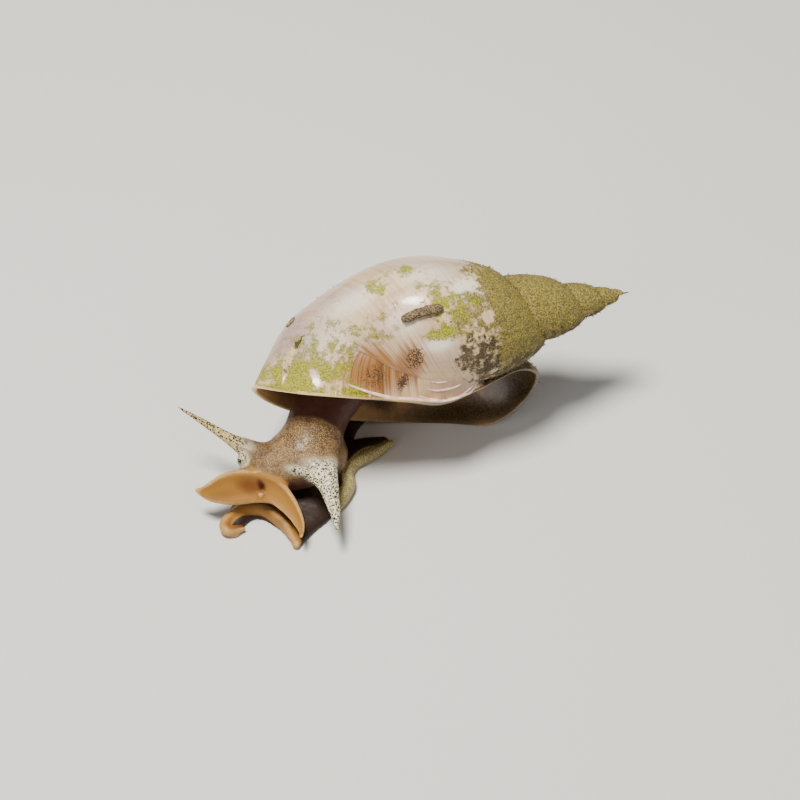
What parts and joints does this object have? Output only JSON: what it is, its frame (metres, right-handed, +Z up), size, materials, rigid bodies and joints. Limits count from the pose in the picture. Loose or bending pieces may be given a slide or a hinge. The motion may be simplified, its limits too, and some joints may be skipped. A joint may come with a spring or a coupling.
{
  "type": "great pond snail",
  "caption": "Great pond snail (Lymnaea stagnalis), life size, crawling with tentacles and mouth lobes spread, shell resting on its outer lip.",
  "frame": {"origin": "a point on the foot's flat sole, on the floor below the back of the head", "axes": "+X along the shell, from the aperture's front end towards the apex; +Y away from the viewer, behind the shell; +Z up, the foot's sole facing -Z"},
  "size_m": [0.0581, 0.0323, 0.0263],
  "materials": {
    "shell": "thin horn-like shell, half glossy, with algae",
    "skin": "wet speckled skin",
    "sole": "wet smooth flesh",
    "eye": "glossy"
  },
  "bodies": {
    "root": {"shell": "shell", "mantle": "skin", "neck": "skin", "head": "skin", "lobe_right": "sole", "lobe_left": "sole", "tentacle_right": "skin", "tentacle_left": "skin", "eye_right": "eye", "eye_left": "eye", "foot_front": "sole", "foot_middle": "sole", "foot_tail": "sole"}
  },
  "joints": []
}
